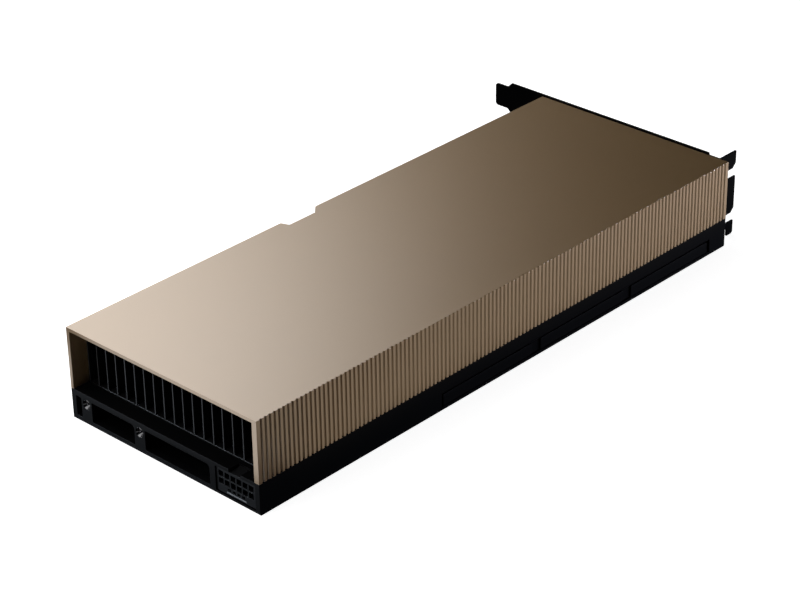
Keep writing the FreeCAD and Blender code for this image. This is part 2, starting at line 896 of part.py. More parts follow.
def make_clamp_screws():
    seat = plate_thickness + film_thickness
    tip = board_top + clamp_post_gap + clamp_depth
    screws = []
    for x, y in clamp_places():
        head = rod(x, y, clamp_head_rise, seat, clamp_head_radius)
        screws.append(head.fuse(rod(x, y, seat, tip, clamp_shank_radius)))
    return Part.makeCompound(screws)


parts["clamp_screws"] = make_clamp_screws()


# Power stages in a row on each side of the package
def stage_rows(length, width, height, offset):
    """Two rows of equal blocks on the board, as far from the package's sides as offset says."""
    first = -(choke_count - 1) * choke_pitch / 2
    reach = package_side / 2 + offset + length / 2
    return Part.makeCompound([
        block(length, width, board_top, board_top + height, side * reach, first + k * choke_pitch)
        for side in (-1, 1) for k in range(choke_count)
    ])


choke_offset = choke_from_package
stage_offset = choke_offset + choke_side + stage_gap
capacitor_offset = stage_offset + stage_length + capacitor_gap
parts["power_inductors"] = stage_rows(choke_side, choke_side, choke_height, choke_offset)
parts["power_stages"] = stage_rows(stage_length, choke_side, stage_height, stage_offset)
parts["polymer_capacitors"] = stage_rows(
    capacitor_width, capacitor_length, capacitor_height, capacitor_offset
)


def make_pads():
    """A soft strip on each row of inductors, up to the heat sink."""
    reach = package_side / 2 + choke_offset + choke_side / 2
    length = (choke_count - 1) * choke_pitch + choke_side
    low = board_top + choke_height
    return Part.makeCompound([
        block(choke_side, length, low, sink_bottom, side * reach, 0) for side in (-1, 1)
    ])


parts["thermal_pads"] = make_pads()

chip_x = body_length - chip_from_bracket
chip_first = body_width / 2 - (chip_count - 1) * chip_pitch / 2
parts["controller_chips"] = Part.makeCompound([
    box(
        chip_x - chip_side / 2, chip_x + chip_side / 2,
        chip_first + k * chip_pitch - chip_side / 2, chip_first + k * chip_pitch + chip_side / 2,
        board_top, board_top + chip_height,
    )
    for k in range(chip_count)
])


# Power connector in the tail face
def bar(x0, x1, y, z, width, height):
    """A bar along X, centred on (y, z)."""
    return box(x0, x1, y - width / 2, y + width / 2, z - height / 2, z + height / 2)


def make_connector():
    front = connector_setback
    body = box(
        front, connector_back, connector_low_y, connector_high_y, connector_bottom, connector_top,
    )
    nub_back = rim_notch_reach - fit_gap
    nub = [
        (nub_back - latch_nub_depth, connector_top),
        (nub_back, connector_top),
        (nub_back, connector_top + latch_nub_height),
    ]
    nub_low = connector_from_ribs - latch_nub_width / 2
    nub_high = connector_from_ribs + latch_nub_width / 2
    body = body.fuse(sideways(nub, [0, 0, 0], nub_low, nub_high))
    cuts = []
    hole = pin_side + 2 * fin_groove_gap
    for y, z in pin_places():
        cuts.append(bar(0, front + pin_cell_depth, y, z, pin_cell, pin_cell))
        cuts.append(bar(0, connector_back + past, y, z, hole, hole))
    side_z = connector_bottom + sideband_rise
    side_hole = sideband_side + 2 * fin_groove_gap
    for y in sideband_places():
        cell_end = front + sideband_shell_depth
        cuts.append(bar(0, cell_end, y, side_z, sideband_cell_width, sideband_cell_height))
        cuts.append(bar(0, connector_back + past, y, side_z, side_hole, side_hole))
    shell_z = connector_bottom + sideband_shell_rise
    shell_gap = 2 * fin_groove_gap
    cuts.append(bar(
        0, front + sideband_shell_depth, connector_from_ribs, shell_z,
        sideband_shell_width + shell_gap, sideband_shell_height + shell_gap,
    ))
    return body.cut(cuts).removeSplitter()


parts["power_connector"] = make_connector()


def make_power_pins():
    """Square pins that run back out of the housing and turn down to the board."""
    tip = connector_setback + pin_tip_setback
    rows = sorted({z for y, z in pin_places()})
    pins = []
    for y, z in pin_places():
        foot = connector_back + pin_tail_gap + rows.index(z) * pin_tail_pitch
        run = bar(tip, foot + pin_side, y, z, pin_side, pin_side)
        leg = box(foot, foot + pin_side, y - pin_side / 2, y + pin_side / 2, board_top, z)
        pins.append(run.fuse(leg).removeSplitter())
    return Part.makeCompound(pins)


parts["power_pins"] = make_power_pins()

sideband_z = connector_bottom + sideband_rise
sideband_tip = connector_setback + pin_tip_setback
parts["sideband_pins"] = Part.makeCompound([
    bar(sideband_tip, connector_back, y, sideband_z, sideband_side, sideband_side)
    for y in sideband_places()
])
parts["sideband_shell"] = bar(
    connector_setback, connector_setback + sideband_shell_depth, connector_from_ribs,
    connector_bottom + sideband_shell_rise, sideband_shell_width, sideband_shell_height,
)


# Slot bracket: one folded sheet with two tongues, a notched tab and two rows of vents
def bracket_contour():
    """Outline of the plate seen along X, with the two tongues."""
    tab_side = bracket_tab_inset - past
    tip = bracket_tab_inset + bracket_length
    neck = tip - tongue_neck
    plate_end = neck - tongue_from_top
    points = [(tab_side, bracket_foot), (plate_end, bracket_foot)]
    radii = [0, 0]
    for drop in (tongue_spacing, 0):
        high = bracket_top - tongue_from_top - drop
        low = high - tongue_width
        points += [
            (plate_end, low - tongue_from_top),
            (neck, low),
            (tip, low),
            (tip, high),
            (neck, high),
            (plate_end, high + tongue_from_top),
        ]
        radii += [0, tongue_corner, tongue_corner, tongue_corner, 0, 0]
    points.append((tab_side, bracket_top))
    radii.append(0)
    return across(points, radii, body_length - past, body_length + tab_reach + past)


def tab_cuts():
    """Two screw notches open to the tab's edge, the relief at its foot and a clipped corner."""
    edge = body_length + tab_reach
    near = bracket_tab_inset - past
    far = bracket_tab_inset + bracket_sheet + bracket_bend
    cuts = []
    for drop in (0, tab_notch_spacing):
        middle = bracket_top - tab_notch_from_top - drop
        low = middle - tab_notch_height / 2
        high = middle + tab_notch_height / 2
        end_round = tab_notch_height / 2 - arc_margin
        notch = [
            (edge - tab_notch_depth, low),
            (edge + past, low),
            (edge + past, high + tab_corner + past),
            (edge - tab_corner, high),
            (edge - tab_notch_depth, high),
        ]
        cuts.append(sideways(notch, [end_round, 0, 0, 0, end_round], near, far))
    slot_end = body_length + tab_slot_reach
    relief = [
        (body_length - past, bracket_foot - past),
        (slot_end, bracket_foot - past),
        (slot_end, bracket_foot + tab_slot_height),
        (body_length - past, bracket_foot + tab_slot_height),
    ]
    cuts.append(sideways(relief, [0, 0, tab_slot_corner, 0], near, far))
    corner = [
        (edge + past, bracket_foot - past),
        (edge + past, bracket_foot + tab_foot_corner + past),
        (edge - tab_foot_corner - past, bracket_foot - past),
    ]
    cuts.append(sideways(corner, [0, 0, 0], near, far))
    return cuts


def vent_cuts():
    """Tall slots with clipped corners, in rows between the frame and the shroud's roof."""
    first = inner_near + vent_side_margin
    span = inner_far - vent_side_margin - first
    cuts = []
    for row in range(vent_rows):
        low = frame_height + vent_row_gap + row * (vent_height + vent_row_gap)
        high = low + vent_height
        for k in range(int((span - vent_width) / vent_pitch) + 1):
            y0 = first + k * vent_pitch
            y1 = y0 + vent_width
            clip = vent_corner
            slot = [
                (y0 + clip, low), (y1 - clip, low), (y1, low + clip), (y1, high - clip),
                (y1 - clip, high), (y0 + clip, high), (y0, high - clip), (y0, low + clip),
            ]
            cuts.append(across(slot, [0] * len(slot), body_length - past, bracket_outside + past))
    return cuts


def make_bracket():
    far = bracket_tab_inset + bracket_length
    edge = body_length + tab_reach
    fold = [
        (body_length, bracket_tab_inset),
        (edge, bracket_tab_inset),
        (edge, bracket_tab_inset + bracket_sheet),
        (bracket_outside, bracket_tab_inset + bracket_sheet),
        (bracket_outside, far),
        (body_length, far),
    ]
    inner_bend = bracket_bend - bracket_sheet
    bracket = upright(fold, [bracket_bend, 0, 0, inner_bend, 0, 0], bracket_foot, bracket_top)
    bracket = bracket.common(bracket_contour())
    dip_far = bracket_tab_inset + corner_dip_width
    dip = box(
        body_length - past, edge + past, bracket_tab_inset - past, dip_far,
        bracket_top - corner_dip, bracket_top + past,
    )
    cuts = [dip] + tab_cuts() + vent_cuts()
    for y in bracket_screw_places():
        cuts.append(screw_seat(bracket_outside, y, bracket_screw_height, Vec(-1, 0, 0), bracket_sheet))
    return bracket.cut(cuts).removeSplitter()


parts["slot_bracket"] = make_bracket()

parts["bracket_screws"] = Part.makeCompound([
    flat_screw(bracket_outside, y, bracket_screw_height, Vec(-1, 0, 0), bracket_screw_length)
    for y in bracket_screw_places()
])

parts["back_plate_screws"] = Part.makeCompound([
    flat_screw(x, y, 0, Vec(0, 0, 1), plate_screw_length) for x, y in post_places()
])

# The origin lies under the middle of the whole card, on the resting face
whole_length = body_length + tab_reach
whole_width = max(bracket_tab_inset + bracket_length, card_height)
to_origin = Vec(-whole_length / 2, -whole_width / 2, 0)

os.makedirs("parts", exist_ok=True)
for name, shape in parts.items():
    shape.translate(to_origin)
    shape.exportStep("parts/" + name + ".step")
    low = shape.BoundBox
    print(name, len(shape.Solids), shape.isValid(), round(shape.Volume, 1),
          [round(v, 2) for v in (low.XMin, low.YMin, low.ZMin, low.XMax, low.YMax, low.ZMax)])
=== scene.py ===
import math

import bmesh
import bpy
from mathutils import Matrix, Vector


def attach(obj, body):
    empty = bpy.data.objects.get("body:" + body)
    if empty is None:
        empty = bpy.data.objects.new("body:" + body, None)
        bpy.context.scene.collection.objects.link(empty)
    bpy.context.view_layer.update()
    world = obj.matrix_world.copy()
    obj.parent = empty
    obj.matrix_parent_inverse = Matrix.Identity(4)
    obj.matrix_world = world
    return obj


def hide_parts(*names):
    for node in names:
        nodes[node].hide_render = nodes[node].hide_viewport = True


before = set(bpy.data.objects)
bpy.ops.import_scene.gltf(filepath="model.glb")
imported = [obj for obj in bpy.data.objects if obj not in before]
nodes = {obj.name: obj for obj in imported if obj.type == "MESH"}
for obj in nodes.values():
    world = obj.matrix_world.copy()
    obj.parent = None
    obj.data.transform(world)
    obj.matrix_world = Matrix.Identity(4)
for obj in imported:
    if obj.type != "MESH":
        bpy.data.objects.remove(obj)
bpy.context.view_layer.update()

# Looks of a passive accelerator card: finishes for its pieces, eased edges, screws with their
# drives, threaded inserts, and the studio that it is shown in. Lengths are in metres.

MM = 0.001

# Camera, as fitted to the photograph: angles in degrees, the focal length in the photograph's pixels
PHOTO_WIDTH = 800
FOCAL_PIXELS = 2511.7
SENSOR = 36.0
AZIMUTH = -46.669
ELEVATION = 28.890
ROLL = -0.960
DISTANCE = 976.982 * MM
AIM = Vector((0, -0.315 * MM, 20 * MM))
SHIFT_RIGHT = -0.836 * MM
SHIFT_UP = -13.295 * MM
CLIP_START = 0.01
CLIP_END = 50.0

# Backdrop
FLOOR_RADIUS = 2.0
BEND_RADIUS = 1.0
BEND_STEPS = 8
WALL_TOP = 4.0
BACKDROP_STEPS = 48
FLOOR_DROP = 0.05 * MM     # keeps the floor clear of the back plate
FLOOR_GREY = 0.7
FLOOR_ROUGHNESS = 0.9
FLOOR_GLOW = 0.93

# Lights
LOW = 0.019                # middle of the low panels, half as high as the card
LOW_PANEL = 0.036          # their height, which keeps them below the top plate's level
BOUNCE = 0.004             # level of the panels that stand for light from the pale floor
WHITE = (1, 1, 1)
TAIL_TINT = (0.82, 0.91, 1)
RIB_TINT = (0.76, 0.80, 1)
FLOOR_TINT = (1, 0.87, 0.68)

# Finishes
CLOUD = 18 * MM
CLOUD_DETAIL = 2.0
ROUGHNESS_SPREAD = 0.06
BUMP_STRENGTH = 0.6
CHAMPAGNE = (0.43, 0.245, 0.058)
CHAMPAGNE_ROUGHNESS = 0.586
# The coat's IOR is set for the tone that it gives, not for a real layer
CHAMPAGNE_COAT = {"Coat_Weight": 1.0, "Coat_Roughness": 0.37, "Coat_IOR": 3.65}
# Painted shade on the fin faces: near black for the shade in the heat sink's channels, though the fins
# are bare metal. FIN_EDGE is the lighter grey of their sheared edges.
FIN_PAINTED_SHADE = (0.004, 0.004, 0.0042)
FIN_EDGE = (0.026, 0.026, 0.027)
TRACE_SCALE = 260.0
TRACE_GAP = 0.012
TRACE_BUMP = 0.02 * MM
TRACE_STRENGTH = 0.4
MASK_ROUGHNESS = 0.38
MASK_GAP = (0.006, 0.008, 0.008)
MASK_TRACE = (0.010, 0.014, 0.013)
LAMINATE_DARK = (0.030, 0.026, 0.018)
LAMINATE_LIGHT = (0.055, 0.048, 0.032)
LAMINATE_ROUGHNESS = 0.75
WEAVE = 0.3 * MM
PLIES = (0.05, 0.05, 1)    # grain along X and Y
DRAWN = (0.1, 1, 1)        # grain along X
# A face is along an axis below the first share of its normal, and square to it above the second
ALONG = 0.55
SQUARE = 0.85

# Eased edges: the width of the easing for each node
EASED = {
    "shroud": 0.06 * MM,
    "base_frame": 0.12 * MM,
    "back_plate": 0.08 * MM,
    "slot_bracket": 0.12 * MM,
    "power_connector": 0.06 * MM,
    "bridge_caps": 0.2 * MM,
    "power_pins": 0.12 * MM,
    "heatsink_base": 0.06 * MM,
}
STRAIGHTENED = {"back_plate": 1.0 * MM}    # steps up to this deep are brought out to the edge
EASE_SEGMENTS = 2
SAME_POINT = 1e-7
SAME_MOVED_POINT = 1e-6
FLAT = math.radians(0.3)
SHARP = math.radians(35)
CREASE = math.radians(38)

# Screws and inserts
HEAD_RADIUS = 1.86 * MM
SHANK_RADIUS = 0.98 * MM
STRAIGHT_RIM = 0.02 * MM
RIM = 0.10 * MM
RIM_FLAT = 1.5 * RIM
RIM_EASE = 0.4 * RIM
RIM_DEPTH = 1.2 * RIM
TIP = 4 * RIM
DRIVE_RADIUS = 1.02 * MM
DRIVE_DEPTH = 0.75 * MM
DRIVE_TAPER = 0.92
DRIVE_LOBE = 0.14
DRIVE_LOBES = 6
CLAMP_HEAD_RADIUS = 2.7 * MM
CLAMP_SHANK_RADIUS = 1.40 * MM
CLAMP_HEAD = 1.2 * MM
INSERT_RADIUS = 2.0 * MM
INSERT_BEVEL = 0.15 * MM
INSERT_SINK = 0.6 * MM
BORE_RADIUS = 1.25 * MM
THREAD_DEPTH = 0.24 * MM
THREAD_PITCH = 0.5 * MM
THREAD_ROWS = 6            # rings of points to each turn of thread
ROUND_STEPS = 48


# Camera and studio
def make_camera():
    data = bpy.data.cameras.new("camera")
    data.sensor_width = SENSOR
    data.lens = FOCAL_PIXELS / PHOTO_WIDTH * SENSOR
    data.clip_start = CLIP_START
    data.clip_end = CLIP_END
    azimuth, elevation, roll = (math.radians(v) for v in (AZIMUTH, ELEVATION, ROLL))
    back = Vector((
        math.sin(azimuth) * math.cos(elevation),
        -math.cos(azimuth) * math.cos(elevation),
        math.sin(elevation),
    ))
    level = Vector((0, 0, 1)).cross(back).normalized()
    plumb = back.cross(level)
    right = level * math.cos(roll) + plumb * math.sin(roll)
    up = plumb * math.cos(roll) - level * math.sin(roll)
    place = AIM + right * SHIFT_RIGHT + up * SHIFT_UP + back * DISTANCE
    turn = Matrix((right, up, back)).transposed().to_4x4()
    camera = bpy.data.objects.new("camera", data)
    camera.matrix_world = Matrix.Translation(place) @ turn
    bpy.context.scene.collection.objects.link(camera)
    bpy.context.scene.camera = camera


def area_light(name, place, aim, width, height, watts, colour=WHITE):
    data = bpy.data.lights.new(name, "AREA")
    data.shape = "RECTANGLE"
    data.size = width
    data.size_y = height
    data.energy = watts
    data.color = colour
    light = bpy.data.objects.new(name, data)
    light.location = place
    light.rotation_mode = "QUATERNION"
    light.rotation_quaternion = (Vector(aim) - Vector(place)).to_track_quat("-Z", "Y")
    light.visible_camera = False
    bpy.context.scene.collection.objects.link(light)
    return light


def low_panel(name, x, y, width, watts, colour=WHITE):
    """A low, wide light that faces the card."""
    return area_light(name, (x, y, LOW), (0, 0, LOW), width, LOW_PANEL, watts, colour)


def spare(light, *pieces):
    """Keeps a light off some pieces."""
    spared = bpy.data.collections.new(light.name + "_spares")
    for piece in pieces:
        spared.objects.link(bpy.data.objects[piece])
    light.light_linking.receiver_collection = spared
    for member in spared.collection_objects:
        member.light_linking.link_state = "EXCLUDE"


def make_backdrop():
    """A pale floor that turns up into a pale wall all round, lit by itself."""
    profile = [(FLOOR_RADIUS, 0.0)]
    for k in range(1, BEND_STEPS + 1):
        turn = math.radians(90 * k / BEND_STEPS)
        radius = FLOOR_RADIUS + BEND_RADIUS * math.sin(turn)
        profile.append((radius, BEND_RADIUS - BEND_RADIUS * math.cos(turn)))
    profile.append((FLOOR_RADIUS + BEND_RADIUS, WALL_TOP))
    turns = [2 * math.pi * k / BACKDROP_STEPS for k in range(BACKDROP_STEPS)]
    bm = bmesh.new()
    rows = []
    for radius, height in profile:
        points = [(radius * math.cos(t), radius * math.sin(t), height - FLOOR_DROP) for t in turns]
        rows.append([bm.verts.new(p) for p in points])
    bm.faces.new(rows[0])
    join_rows(bm, zip(rows, rows[1:]), BACKDROP_STEPS)
    for face in bm.faces:
        face.smooth = len(face.verts) == 4
    mesh = bpy.data.meshes.new("backdrop")
    bm.to_mesh(mesh)
    bm.free()
    backdrop = bpy.data.objects.new("backdrop", mesh)
    bpy.context.scene.collection.objects.link(backdrop)
    material, _, shader = start("pale_backdrop")
    shader.inputs["Base Color"].default_value = (FLOOR_GREY, FLOOR_GREY, FLOOR_GREY, 1)
    shader.inputs["Roughness"].default_value = FLOOR_ROUGHNESS
    shader.inputs["Emission Color"].default_value = (*WHITE, 1)
    shader.inputs["Emission Strength"].default_value = FLOOR_GLOW
    mesh.materials.append(material)
    backdrop.visible_glossy = False
    backdrop.visible_diffuse = False


def make_studio():
    scene = bpy.context.scene
    scene.view_settings.view_transform = "Standard"
    world = bpy.data.worlds.new("studio")
    world.use_nodes = True
    world.node_tree.nodes["Background"].inputs["Strength"].default_value = 0.0
    scene.world = world
    area_light(
        "key", place=(-0.158, 0.280, 0.3925), aim=(0, 0, 0.03), width=1.51, height=0.41,
        watts=3.5,
    )
    # Strong lights for the black tail and bracket, which would glare on the cover
    tail_fill = low_panel("tail_fill", x=-0.573, y=0.686, width=0.60, watts=14, colour=TAIL_TINT)
    spare(tail_fill, "shroud_finished", "slot_bracket_finished")
    end_fill = low_panel("end_fill", x=0.95, y=0.45, width=0.9, watts=11)
    spare(end_fill, "shroud_finished")
    low_panel("far_fill", x=0, y=0.9, width=1.6, watts=1.8)
    low_panel("rib_fill", x=0.775, y=-0.4475, width=0.60, watts=5.1, colour=RIB_TINT)
    # What the pale floor sends back into the tail and the ribs. The slight lean of each panel sets
    # which way its width runs.
    area_light(
        "tail_bounce", place=(-0.230, 0.0, BOUNCE), aim=(-0.229, 0, 1), width=0.14, height=0.16,
        watts=0.06,
    )
    area_light(
        "rib_bounce", place=(0.078, -0.115, BOUNCE), aim=(0.078, -0.114, 1), width=0.385,
        height=0.09, watts=0.028, colour=FLOOR_TINT,
    )
    make_backdrop()


# Building blocks for the finishes
def start(name):
    """A new node material and its shader."""
    material = bpy.data.materials.new(name)
    material.use_nodes = True
    return material, material.node_tree, material.node_tree.nodes["Principled BSDF"]


def add(tree, kind, inputs, **settings):
    """A node whose inputs are values or other nodes' outputs."""
    node = tree.nodes.new(kind)
    for key, value in settings.items():
        setattr(node, key, value)
    for key, value in inputs.items():
        if isinstance(value, bpy.types.NodeSocket):
            tree.links.new(value, node.inputs[key])
        else:
            node.inputs[key].default_value = value
    return node


def noise(tree, size, stretch=(1, 1, 1), detail=3.0):
    """Noise whose features are about size across; a stretch under 1 makes them long that way."""
    place = add(tree, "ShaderNodeTexCoord", {}).outputs["Object"]
    place = add(tree, "ShaderNodeMapping", {"Vector": place, "Scale": stretch}).outputs["Vector"]
    node = add(tree, "ShaderNodeTexNoise", {"Vector": place, "Scale": 1 / size, "Detail": detail})
    return node.outputs["Fac"]


def between(tree, fac, low, high):
    """A value between two values, by a factor."""
    node = add(tree, "ShaderNodeMapRange", {"Value": fac, "To Min": low, "To Max": high})
    return node.outputs["Result"]


def mixed(tree, fac, first, second):
    """A colour between two colours, or between two outputs."""
    first = (*first, 1) if isinstance(first, tuple) else first
    second = (*second, 1) if isinstance(second, tuple) else second
    return add(tree, "ShaderNodeMix", {0: fac, 6: first, 7: second}, data_type="RGBA").outputs[2]


def facing(tree, axis):
    """1 on faces square to an axis and 0 on faces along it, from the piece's own form."""
    normal = add(tree, "ShaderNodeNewGeometry", {}).outputs["True Normal"]
    part = add(tree, "ShaderNodeSeparateXYZ", {0: normal}).outputs[axis]
    size = add(tree, "ShaderNodeMath", {0: part}, operation="ABSOLUTE").outputs[0]
    node = add(tree, "ShaderNodeMapRange", {"Value": size, "From Min": ALONG, "From Max": SQUARE})
    return node.outputs["Result"]


def finish(name, colour, metallic, roughness, grain, depth, stretch=(1, 1, 1), vary=0.08, **sockets):
    """A finish with a soft cloud in its colour and gloss, and a fine grain as its bump."""
    material, tree, shader = start(name)
    cloud = noise(tree, CLOUD, detail=CLOUD_DETAIL)
    dark = tuple(c * (1 - vary) for c in colour)
    light = tuple(min(1.0, c * (1 + vary)) for c in colour)
    tree.links.new(mixed(tree, cloud, dark, light), shader.inputs["Base Color"])
    fine = noise(tree, grain, stretch)
    spread = min(ROUGHNESS_SPREAD, roughness / 4)
    rough = between(tree, fine, roughness - spread, roughness + spread)
    tree.links.new(rough, shader.inputs["Roughness"])
    bump = add(tree, "ShaderNodeBump", {"Height": fine, "Distance": depth, "Strength": BUMP_STRENGTH})
    tree.links.new(bump.outputs["Normal"], shader.inputs["Normal"])
    shader.inputs["Metallic"].default_value = metallic
    for key, value in sockets.items():
        shader.inputs[key.replace("_", " ")].default_value = value
    return material


def champagne():
    """Blasted aluminium under a champagne anodised layer."""
    return finish(
        "champagne_anodised", CHAMPAGNE, metallic=1.0, roughness=CHAMPAGNE_ROUGHNESS,
        grain=0.12 * MM, depth=0.003 * MM, vary=0.03, **CHAMPAGNE_COAT,
    )


def black_coat(name, level, roughness, gloss):
    """A black coating with a faint grain."""
    colour = (level, level * 1.02, level * 1.15)
    return finish(
        name, colour, metallic=0.0, roughness=roughness, grain=0.25 * MM, depth=0.01 * MM,
        vary=0.2, Specular_IOR_Level=gloss,
    )


def bare_metal(name, colour, roughness, stretch=(1, 1, 1)):
    """Metal with a drawn or blasted grain."""
    return finish(
        name, colour, metallic=1.0, roughness=roughness, grain=0.15 * MM, depth=0.004 * MM,
        stretch=stretch, vary=0.06,
    )


def moulding(name, colour, roughness):
    """Moulded plastic or resin."""
    return finish(
        name, colour, metallic=0.0, roughness=roughness, grain=0.2 * MM, depth=0.004 * MM,
        vary=0.1, Specular_IOR_Level=0.4,
    )


def fin_sheet_painted_shade():
    """Fins with painted shade: their faces near black for the shade in the heat sink's channels, and
    their sheared edges a lighter grey.
    """
    material = finish(
        "fin_sheet_painted_shade", FIN_PAINTED_SHADE, metallic=0.0, roughness=0.6, grain=0.15 * MM, depth=0.003 * MM,
        Specular_IOR_Level=0.05,
    )
    tree = material.node_tree
    shader = tree.nodes["Principled BSDF"]
    body = shader.inputs["Base Color"].links[0].from_socket
    # Painted shade: the fin faces stay near black, and the faces square to X, the sheared edges, get the
    # lighter FIN_EDGE
    edge = mixed(tree, facing(tree, 0), body, FIN_EDGE)
    tree.links.new(edge, shader.inputs["Base Color"])
    return material


def solder_mask():
    """Black solder mask over a fine maze of traces, with bare laminate at the sides."""
    material, tree, shader = start("solder_mask")
    place = add(tree, "ShaderNodeTexCoord", {}).outputs["Object"]
    traces = add(tree, "ShaderNodeTexBrick", {
        "Vector": place, "Scale": TRACE_SCALE, "Mortar Size": TRACE_GAP, "Color1": (1, 1, 1, 1),
        "Color2": (0.9, 0.9, 0.9, 1), "Mortar": (0, 0, 0, 1),
    }).outputs["Fac"]
    top = facing(tree, 2)
    mask = mixed(tree, traces, MASK_GAP, MASK_TRACE)
    weave = noise(tree, WEAVE, PLIES)
    side = mixed(tree, weave, LAMINATE_DARK, LAMINATE_LIGHT)
    tree.links.new(mixed(tree, top, side, mask), shader.inputs["Base Color"])
    rough = between(tree, top, LAMINATE_ROUGHNESS, MASK_ROUGHNESS)
    tree.links.new(rough, shader.inputs["Roughness"])
    bump = add(tree, "ShaderNodeBump", {
        "Height": traces, "Distance": TRACE_BUMP, "Strength": TRACE_STRENGTH,
    })
    tree.links.new(bump.outputs["Normal"], shader.inputs["Normal"])
    return material


def gilt(name, colour):
    """Gold plating."""
    return finish(
        name, colour, metallic=1.0, roughness=0.28, grain=0.1 * MM, depth=0.002 * MM, vary=0.05,
    )


def make_finishes():
    """A finish for every CAD node, by the node's name."""
    black_steel = black_coat("black_steel", 0.006, 0.42, 0.2)
    chip = moulding("chip_mould", (0.02, 0.02, 0.021), 0.5)
    silicon = finish(
        "silicon", (0.16, 0.17, 0.2), metallic=0.9, roughness=0.12, grain=2 * MM,
        depth=0.0005 * MM,
    )
    return {
        "shroud": champagne(),
        "shroud_screws": black_steel,
        "base_frame": black_coat("cast_frame", 0.002, 0.5, 0.05),
        "extender_inserts": bare_metal("plated_steel", (0.13, 0.13, 0.134), 0.13),
        "back_plate": black_coat("plate_coat", 0.002, 0.5, 0.045),
        "insulation_film": moulding("film", (0.03, 0.03, 0.034), 0.3),
        "circuit_board": solder_mask(),
        "edge_contacts": gilt("gold_contacts", (0.83, 0.58, 0.24)),
        "bridge_caps": black_coat("bridge_cap", 0.002, 0.6, 0.04),
        "heatsink_base": bare_metal("sink_base", (0.045, 0.045, 0.047), 0.5, (0.05, 1, 1)),
        "heatsink_fins": fin_sheet_painted_shade(),
        "processor_package": moulding("substrate", (0.02, 0.09, 0.045), 0.35),
        "package_ring": bare_metal("package_ring", (0.5, 0.5, 0.5), 0.3),
        "processor_die": silicon,
        "memory_stacks": silicon,
        "thermal_compound": moulding("compound", (0.35, 0.36, 0.38), 0.5),
        "stiffener_plate": bare_metal("stiffener", (0.4, 0.4, 0.41), 0.35, DRAWN),
        "clamp_screws": bare_metal("clamp_steel", (0.12, 0.12, 0.13), 0.3),
        "power_inductors": moulding("ferrite", (0.08, 0.08, 0.085), 0.55),
        "power_stages": chip,
        "polymer_capacitors": moulding("capacitor", (0.07, 0.06, 0.05), 0.5),
        "thermal_pads": moulding("soft_pad", (0.3, 0.34, 0.4), 0.8),
        "controller_chips": chip,
        "power_connector": black_coat("connector", 0.005, 0.45, 0.12),
        "power_pins": gilt("power_pins", (0.72, 0.55, 0.3)),
        "sideband_pins": gilt("signal_pins", (0.75, 0.6, 0.34)),
        "sideband_shell": bare_metal("tinned_shell", (0.25, 0.25, 0.257), 0.5, DRAWN),
        "slot_bracket": black_coat("bracket_coat", 0.0015, 0.5, 0.03),
        "bracket_screws": black_steel,
        "back_plate_screws": black_steel,
    }


def new_piece(name, bm, finishes, node):
    """A piece that stands for a CAD node, with that node's finish."""
    mesh = bpy.data.meshes.new(name)
    bm.to_mesh(mesh)
    bm.free()
    mesh.materials.append(finishes[node])
    piece = bpy.data.objects.new(name, mesh)
    bpy.context.scene.collection.objects.link(piece)
    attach(piece, "root")
    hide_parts(node)
    return piece


def join_flat(bm, near):
    """Joins points that coincide, and triangles that make up a flat face."""
    bmesh.ops.remove_doubles(bm, verts=bm.verts, dist=near)
    bmesh.ops.dissolve_limit(
        bm, angle_limit=FLAT, verts=bm.verts, edges=bm.edges, use_dissolve_boundaries=False,
    )


def clean_copy(node):
    """The node's surface with its triangles joined into flat faces."""
    bm = bmesh.new()
    bm.from_mesh(nodes[node].data)
    join_flat(bm, SAME_POINT)
    return bm


def straighten(bm, step):
    """Brings a shallow step in the low-y edge out to the edge itself."""
    edge = min(v.co.y for v in bm.verts)
    for vert in bm.verts:
        if 0 < vert.co.y - edge < step:
            vert.co.y = edge
    join_flat(bm, SAME_MOVED_POINT)


def make_softened(node, width, finishes):
    """The node's own form with its sharp edges eased."""
    bm = clean_copy(node)
    if node in STRAIGHTENED:
        straighten(bm, STRAIGHTENED[node])
    edges = [e for e in bm.edges if len(e.link_faces) == 2 and e.calc_face_angle() > SHARP]
    bmesh.ops.bevel(
        bm, geom=edges, offset=width, offset_type="OFFSET", segments=EASE_SEGMENTS, profile=0.5,
        affect="EDGES", clamp_overlap=False,
    )
    for face in bm.faces:
        face.smooth = True
    piece = new_piece(node + "_finished", bm, finishes, node)
    weighted = piece.modifiers.new("even_shading", "WEIGHTED_NORMAL")
    weighted.mode = "FACE_AREA"
    weighted.weight = 100


def separate_boxes(node):
    """Lowest and highest corner of each separate solid in a node."""
    bm = clean_copy(node)
    waiting = set(bm.verts)
    boxes = []
    while waiting:
        first = waiting.pop()
        found = [first]
        stack = [first]
        while stack:
            for edge in stack.pop().link_edges:
                for vert in edge.verts:
                    if vert in waiting:
                        waiting.remove(vert)
                        found.append(vert)
                        stack.append(vert)
        low = Vector([min(v.co[i] for v in found) for i in range(3)])
        high = Vector([max(v.co[i] for v in found) for i in range(3)])
        boxes.append((low, high))
    bm.free()
    return sorted(boxes, key=lambda b: tuple(b[0]))


def axis_frame(point, out):
    """Places local +Z along an outward axis at a point."""
    return Matrix.Translation(point) @ Vector(out).to_track_quat("Z", "Y").to_matrix().to_4x4()


def plain(radius):
    return lambda turn: radius


def lobed(radius):
    """Radius of a lobed drive recess at an angle."""
    return lambda turn: radius * (1 - DRIVE_LOBE + DRIVE_LOBE * math.cos(DRIVE_LOBES * turn))


def ring_rows(bm, rings, place):
    """A row of points for each ring, which is a radius at an angle and a height on the axis."""
    turns = [2 * math.pi * k / ROUND_STEPS for k in range(ROUND_STEPS)]
    rows = []
    for radius, height in rings:
        points = [(radius(t) * math.cos(t), radius(t) * math.sin(t), height) for t in turns]
        rows.append([bm.verts.new(place @ Vector(p)) for p in points])
    return rows


def join_rows(bm, pairs, steps):
    """Faces between rows of points."""
    for a, b in pairs:
        for k in range(steps):
            bm.faces.new((a[k - 1], a[k], b[k], b[k - 1]))


